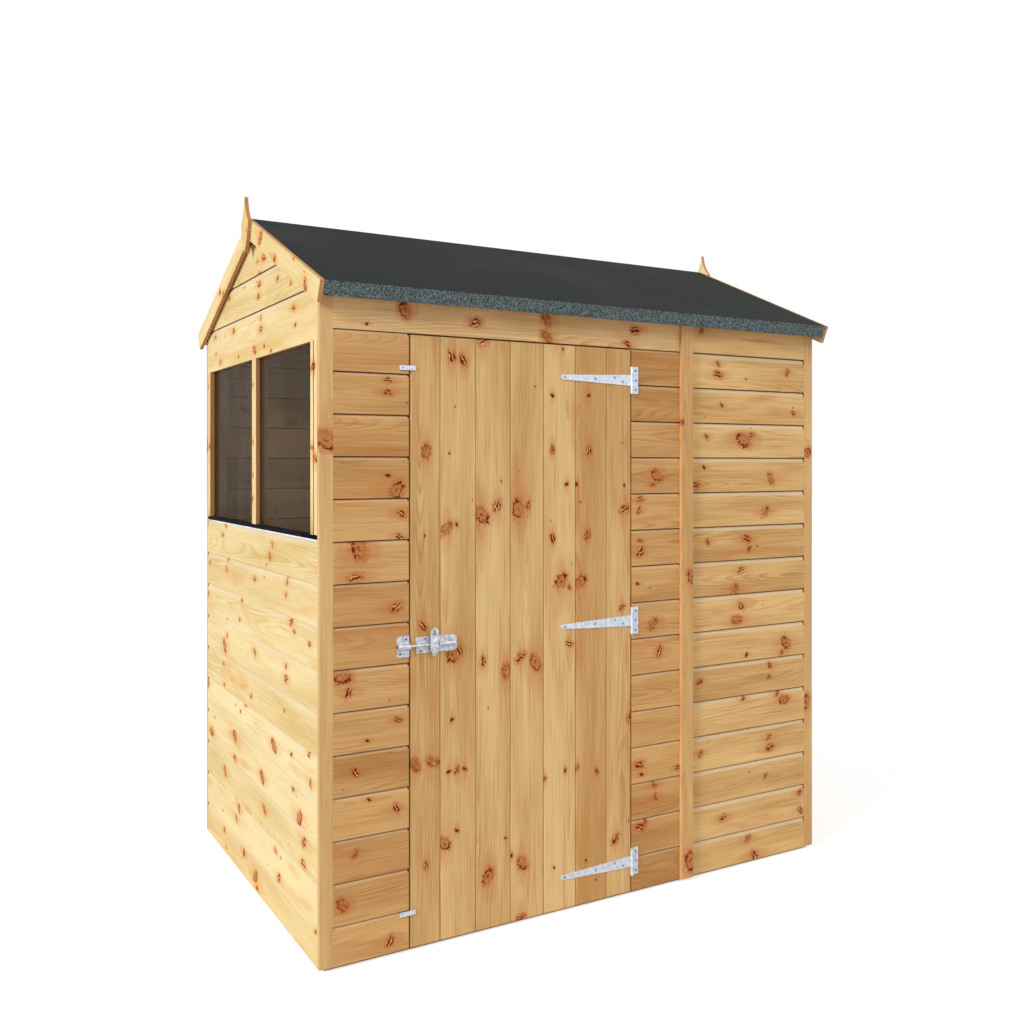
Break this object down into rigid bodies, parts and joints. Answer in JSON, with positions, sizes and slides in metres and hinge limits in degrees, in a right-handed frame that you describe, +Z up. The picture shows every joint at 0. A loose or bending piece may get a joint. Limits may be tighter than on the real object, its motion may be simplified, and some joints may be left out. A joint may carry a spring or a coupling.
{
  "type": "wooden garden shed",
  "caption": "Small timber shed with shiplap walls, apex roof in mineral felt, hinged boarded door with pad bolt in the long side, and a window in one gable.",
  "frame": {"origin": "on the ground at the centre of the plan", "axes": "+X along the front wall towards the hinge side of the door, +Y from front to back, +Z up"},
  "size_m": [1.86, 1.334, 2.182],
  "materials": {
    "cladding": "planed pine shiplap, dip treated",
    "trim": "planed pine",
    "framing": "sawn pine",
    "floor": "sawn pine",
    "felt": "mineral roofing felt",
    "steel": "galvanised",
    "glazing": "clear"
  },
  "bodies": {
    "shed": {"front_cladding_left": "cladding", "front_cladding_middle": "cladding", "front_cladding_right": "cladding", "front_lintel_board": "cladding", "back_cladding": "cladding", "left_cladding_lower": "cladding", "left_cladding_upper": "cladding", "right_cladding": "cladding", "corner_strips": "trim", "front_cover_strip": "trim", "window_head_trim": "trim", "window_jamb_trims": "trim", "window_mullion": "trim", "bargeboards_front": "trim", "bargeboards_rear": "trim", "finials": "trim", "front_studs": "framing", "front_rails": "framing", "back_studs": "framing", "back_rails": "framing", "gable_studs": "framing", "gable_rails": "framing", "gable_rafters": "framing", "ridge_beam": "framing", "roof_purlins": "framing", "eaves_rails": "framing", "roof_boards_front": "framing", "roof_boards_rear": "framing", "floor_boards": "floor", "floor_bearers": "floor", "roof_felt_front": "felt", "roof_felt_rear": "felt", "hinge_plates": "steel", "bolt_keeper": "steel", "window_panes": "glazing"},
    "door": {"door_boards": "cladding", "door_ledges": "framing", "door_braces": "framing", "hinge_straps": "steel", "bolt_plate": "steel", "turn_button_screws": "steel"},
    "bolt": {"bolt_bar": "steel"},
    "upper_button": {"turn_button_top": "steel"},
    "lower_button": {"turn_button_bottom": "steel"}
  },
  "joints": [
    {"name": "door_hinge", "type": "hinge", "parent": "shed", "child": "door", "pos_m": [0.1145, -0.614, 0.857], "axis": [0, 0, 1], "range_deg": [0, 165]},
    {"name": "bolt_slide", "type": "slide", "parent": "door", "child": "bolt", "axis": [1, 0, 0], "range_m": [-0.034, 0.008]},
    {"name": "upper_button_turn", "type": "hinge", "parent": "door", "child": "upper_button", "pos_m": [-0.632, -0.611, 1.611], "axis": [0, -1, 0], "range_deg": [0, 90]},
    {"name": "lower_button_turn", "type": "hinge", "parent": "door", "child": "lower_button", "pos_m": [-0.632, -0.611, 0.109], "axis": [0, -1, 0], "range_deg": [0, 90]}
  ]
}
